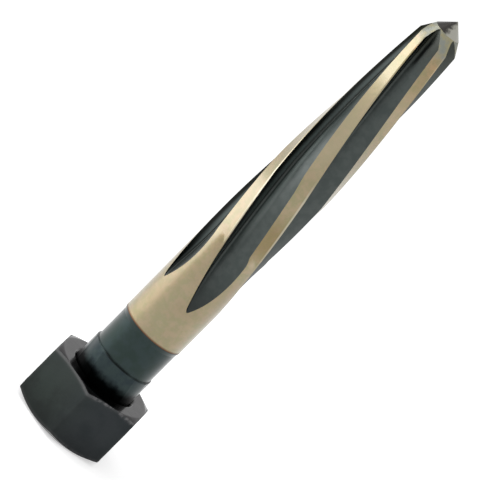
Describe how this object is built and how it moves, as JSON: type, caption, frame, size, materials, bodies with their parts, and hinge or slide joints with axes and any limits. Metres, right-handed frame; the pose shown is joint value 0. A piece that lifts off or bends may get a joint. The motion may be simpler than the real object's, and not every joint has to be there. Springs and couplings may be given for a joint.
{
  "type": "car reamer",
  "caption": "Tapered bridge reamer with left-hand spiral flutes, a black shank and a hexagon drive nut, for truing rivet and bolt holes.",
  "frame": {"origin": "centre of the drive nut's outer face, on which the tool stands", "axes": "+Z along the tool's axis from the nut to the point; a corner of the hexagon lies on -Y and two of its flats face +X and -X"},
  "size_m": [0.0314, 0.0362, 0.1661],
  "materials": {
    "reamer_steel": "black oxide with bronze-gold ground lands and body",
    "nut_steel": "matte black oxide"
  },
  "bodies": {
    "root": {"reamer": "reamer_steel", "drive_nut": "nut_steel"}
  },
  "joints": []
}
